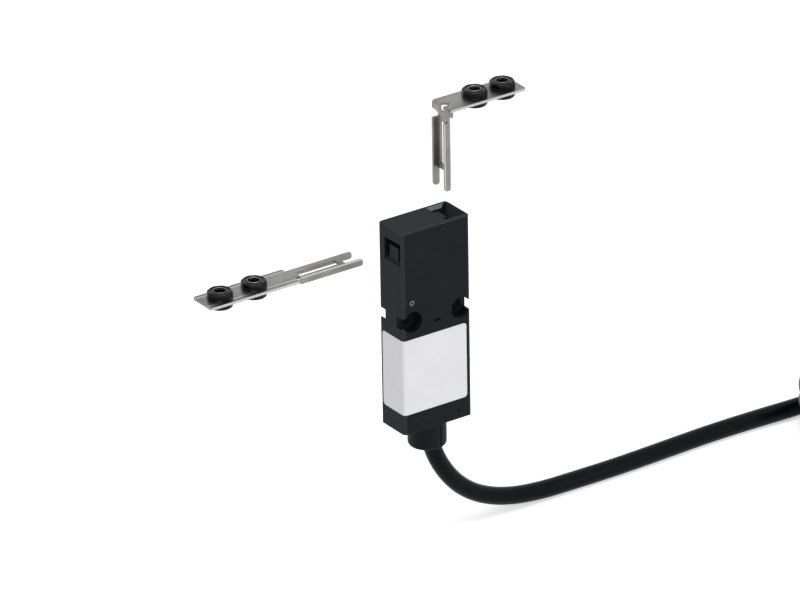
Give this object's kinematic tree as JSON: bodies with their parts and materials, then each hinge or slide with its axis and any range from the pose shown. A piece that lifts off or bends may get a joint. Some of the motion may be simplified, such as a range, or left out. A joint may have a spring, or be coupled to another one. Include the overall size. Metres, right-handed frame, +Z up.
{
  "type": "tongue interlock switch",
  "caption": "Slim safety interlock switch with a two-way tongue head, slotted mounting holes, a moulded cable, and a straight and a right-angled tongue.",
  "frame": {"origin": "midway between the two mounting holes, on the back face that lies on the machine", "axes": "+X across the broad face, +Y towards the machine, +Z up along the switch towards the head"},
  "size_m": [0.4043, 0.06, 0.1751],
  "materials": {
    "case_black": "fine-textured moulded black plastic",
    "label_white": "smooth printed film, left bare",
    "steel": "ground steel",
    "cam_plastic": "glass-filled moulded plastic",
    "spring_steel": "drawn wire",
    "bearing_plastic": "slippery white plastic",
    "seal_rubber": "soft black rubber",
    "carrier_plastic": "moulded plastic",
    "copper": "stamped strip",
    "silver": "plain silver",
    "block_plastic": "moulded plastic",
    "wire_insulation": "thin coloured insulation",
    "cable_sheath": "smooth satin sheath",
    "tie_plastic": "flat strap",
    "strand_copper": "bare stranded wire",
    "stainless": "stamped sheet, satin",
    "grommet_rubber": "moulded rubber",
    "bush_steel": "turned steel"
  },
  "bodies": {
    "switch": {"body_case": "case_black", "body_cover": "case_black", "label": "label_white", "head_case": "case_black", "head_cover": "case_black", "head_pin": "steel", "cam_pin": "steel", "cam_spring": "spring_steel", "plunger_bush": "bearing_plastic", "plunger_seal": "seal_rubber", "contact_block": "block_plastic", "safety_blades": "copper", "signal_blades": "copper", "fixed_tips": "silver", "return_spring": "spring_steel", "inner_wires": "wire_insulation", "cable_bush": "seal_rubber", "cable": "cable_sheath", "cable_coil": "cable_sheath", "coil_tie": "tie_plastic", "cable_tail": "cable_sheath", "cable_cores": "wire_insulation", "core_strands": "strand_copper"},
    "cam_body": {"cam": "cam_plastic"},
    "plunger_body": {"plunger": "steel", "contact_carrier": "carrier_plastic", "safety_bridge": "copper", "signal_bridge": "copper", "bridge_tips": "silver", "bridge_springs": "spring_steel"},
    "straight_tongue": {"tongue_straight": "stainless", "straight_grommets": "grommet_rubber", "straight_bushes": "bush_steel"},
    "angled_tongue": {"tongue_angled": "stainless", "angled_grommets": "grommet_rubber", "angled_bushes": "bush_steel"}
  },
  "joints": [
    {"name": "cam_turn", "type": "hinge", "parent": "switch", "child": "cam_body", "pos_m": [0, -0.0091, 0.02195], "axis": [0, 1, 0], "range_deg": [0, 40]},
    {"name": "plunger_slide", "type": "slide", "parent": "switch", "child": "plunger_body", "axis": [0, 0, 1], "range_m": [0, 0.002], "deforming": ["return_spring"]},
    {"name": "straight_tongue_slide", "type": "slide", "parent": "switch", "child": "straight_tongue", "axis": [1, 0, 0], "range_m": [0, 0.0355]},
    {"name": "angled_tongue_slide", "type": "slide", "parent": "switch", "child": "angled_tongue", "axis": [0, 0, -1], "range_m": [0, 0.0306]}
  ],
  "couplings": [
    {"joint": "cam_turn", "follows": "plunger_slide", "rad_per_m": 349}
  ]
}
